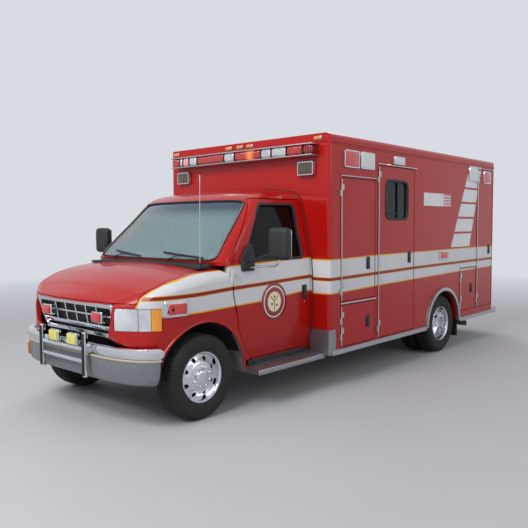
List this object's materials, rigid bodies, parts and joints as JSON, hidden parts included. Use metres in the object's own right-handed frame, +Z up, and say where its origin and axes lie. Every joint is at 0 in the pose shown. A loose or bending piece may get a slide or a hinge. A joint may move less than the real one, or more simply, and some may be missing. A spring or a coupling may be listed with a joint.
{
  "type": "box ambulance",
  "caption": "Red box ambulance on a van cab and chassis, with steered front wheels, twin rear wheels, hinged cab, entry, rear and locker doors, and a hollow patient box.",
  "frame": {"origin": "middle of the bounding box on the ground, between the wheels", "axes": "+X forward, +Y the vehicle's left, +Z up; wheels stand on z = 0"},
  "size_m": [6.736, 2.94, 2.592],
  "materials": {
    "red_paint": "gloss",
    "frame_paint": "satin",
    "cast": "matte",
    "steel": "satin",
    "bright": "polished",
    "alloy": "brushed",
    "screen_glass": "clear",
    "red_lens": "gloss",
    "clear_lens": "gloss",
    "dark_plastic": "matte",
    "light_panel": "satin",
    "floor_mat": "matte",
    "seat_cloth": "woven",
    "vinyl": "satin",
    "tyre": "matte"
  },
  "bodies": {
    "vehicle": {"cab_shell": "red_paint", "front_fenders": "red_paint", "box_front_wall": "red_paint", "box_left_wall": "red_paint", "box_right_wall": "red_paint", "box_rear_wall": "red_paint", "box_roof": "red_paint", "chassis_frame": "frame_paint", "front_axle": "frame_paint", "rear_axle": "frame_paint", "engine_block": "cast", "drive_line": "steel", "exhaust_pipe": "steel", "fuel_tank": "steel", "grille": "bright", "front_bumper": "bright", "grille_guard": "bright", "running_boards": "alloy", "rear_step": "alloy", "skirt_rails": "alloy", "windshield": "screen_glass", "light_bar": "red_lens", "front_lamps": "clear_lens", "box_lamps": "clear_lens", "dashboard": "dark_plastic", "steering_wheel": "dark_plastic", "cabinets": "light_panel", "cab_floor": "floor_mat", "box_floor": "floor_mat", "entry_step": "floor_mat", "mud_flaps": "floor_mat", "cab_seats": "seat_cloth", "bench_seat": "vinyl"},
    "hood": {"hood": "red_paint"},
    "cab_door_left": {"cab_door_left": "red_paint"},
    "cab_door_right": {"cab_door_right": "red_paint"},
    "side_entry_door": {"side_entry_door": "red_paint"},
    "rear_door_left": {"rear_door_left": "red_paint"},
    "rear_door_right": {"rear_door_right": "red_paint"},
    "locker_door_front_upper": {"locker_door_front_upper": "red_paint"},
    "locker_door_front_lower": {"locker_door_front_lower": "red_paint"},
    "locker_door_rear_lower": {"locker_door_rear_lower": "red_paint"},
    "locker_door_rear_tall": {"locker_door_rear_tall": "red_paint"},
    "locker_door_right_front": {"locker_door_right_front": "red_paint"},
    "locker_door_right_rear": {"locker_door_right_rear": "red_paint"},
    "knuckle_left": {"knuckle_left": "cast"},
    "knuckle_right": {"knuckle_right": "cast"},
    "front_wheel_left": {"front_wheel_left": "tyre"},
    "front_wheel_right": {"front_wheel_right": "tyre"},
    "rear_wheels_left": {"rear_wheels_left": "tyre"},
    "rear_wheels_right": {"rear_wheels_right": "tyre"}
  },
  "joints": [
    {"name": "steer_left", "type": "hinge", "parent": "vehicle", "child": "knuckle_left", "pos_m": [2.593, 0.735, 0.37], "axis": [0, 0, 1], "range_deg": [-33, 33]},
    {"name": "front_wheel_spin_left", "type": "hinge", "parent": "knuckle_left", "child": "front_wheel_left", "pos_m": [2.593, 0.883, 0.37], "axis": [0, 1, 0], "continuous": true},
    {"name": "rear_wheels_spin_left", "type": "hinge", "parent": "vehicle", "child": "rear_wheels_left", "pos_m": [-1.42, 0.98, 0.37], "axis": [0, 1, 0], "continuous": true},
    {"name": "cab_door_hinge_left", "type": "hinge", "parent": "vehicle", "child": "cab_door_left", "pos_m": [2.266, 1.011, 1.24], "axis": [0, 0, -1], "range_deg": [0, 68]},
    {"name": "rear_door_hinge_left", "type": "hinge", "parent": "vehicle", "child": "rear_door_left", "pos_m": [-3.088, 0.61, 1.5], "axis": [0, 0, -1], "range_deg": [0, 110]},
    {"name": "steer_right", "type": "hinge", "parent": "vehicle", "child": "knuckle_right", "pos_m": [2.593, -0.735, 0.37], "axis": [0, 0, 1], "range_deg": [-33, 33]},
    {"name": "front_wheel_spin_right", "type": "hinge", "parent": "knuckle_right", "child": "front_wheel_right", "pos_m": [2.593, -0.883, 0.37], "axis": [0, 1, 0], "continuous": true},
    {"name": "rear_wheels_spin_right", "type": "hinge", "parent": "vehicle", "child": "rear_wheels_right", "pos_m": [-1.42, -0.98, 0.37], "axis": [0, 1, 0], "continuous": true},
    {"name": "cab_door_hinge_right", "type": "hinge", "parent": "vehicle", "child": "cab_door_right", "pos_m": [2.266, -1.011, 1.24], "axis": [0, 0, 1], "range_deg": [0, 68]},
    {"name": "rear_door_hinge_right", "type": "hinge", "parent": "vehicle", "child": "rear_door_right", "pos_m": [-3.088, -0.61, 1.5], "axis": [0, 0, 1], "range_deg": [0, 110]},
    {"name": "hood_hinge", "type": "hinge", "parent": "vehicle", "child": "hood", "pos_m": [2.509, 0, 1.298], "axis": [0, -1, 0], "range_deg": [0, 45]},
    {"name": "side_entry_hinge", "type": "hinge", "parent": "vehicle", "child": "side_entry_door", "pos_m": [0.172, 1.227, 1.36], "axis": [0, 0, -1], "range_deg": [0, 95]},
    {"name": "locker_hinge_front_upper", "type": "hinge", "parent": "vehicle", "child": "locker_door_front_upper", "pos_m": [0.888, 1.227, 1.5], "axis": [0, 0, -1], "range_deg": [0, 100]},
    {"name": "locker_hinge_front_lower", "type": "hinge", "parent": "vehicle", "child": "locker_door_front_lower", "pos_m": [0.888, 1.227, 0.62], "axis": [0, 0, -1], "range_deg": [0, 100]},
    {"name": "locker_hinge_rear_lower", "type": "hinge", "parent": "vehicle", "child": "locker_door_rear_lower", "pos_m": [-1.943, 1.227, 0.78], "axis": [0, 0, -1], "range_deg": [0, 100]},
    {"name": "locker_hinge_rear_tall", "type": "hinge", "parent": "vehicle", "child": "locker_door_rear_tall", "pos_m": [-2.481, 1.227, 1.46], "axis": [0, 0, -1], "range_deg": [0, 100]},
    {"name": "locker_hinge_right_front", "type": "hinge", "parent": "vehicle", "child": "locker_door_right_front", "pos_m": [0.888, -1.227, 1.32], "axis": [0, 0, 1], "range_deg": [0, 100]},
    {"name": "locker_hinge_right_rear", "type": "hinge", "parent": "vehicle", "child": "locker_door_right_rear", "pos_m": [-2.481, -1.227, 1.46], "axis": [0, 0, 1], "range_deg": [0, 100]}
  ],
  "couplings": [
    {"joint": "steer_right", "follows": "steer_left", "ratio": 1}
  ]
}
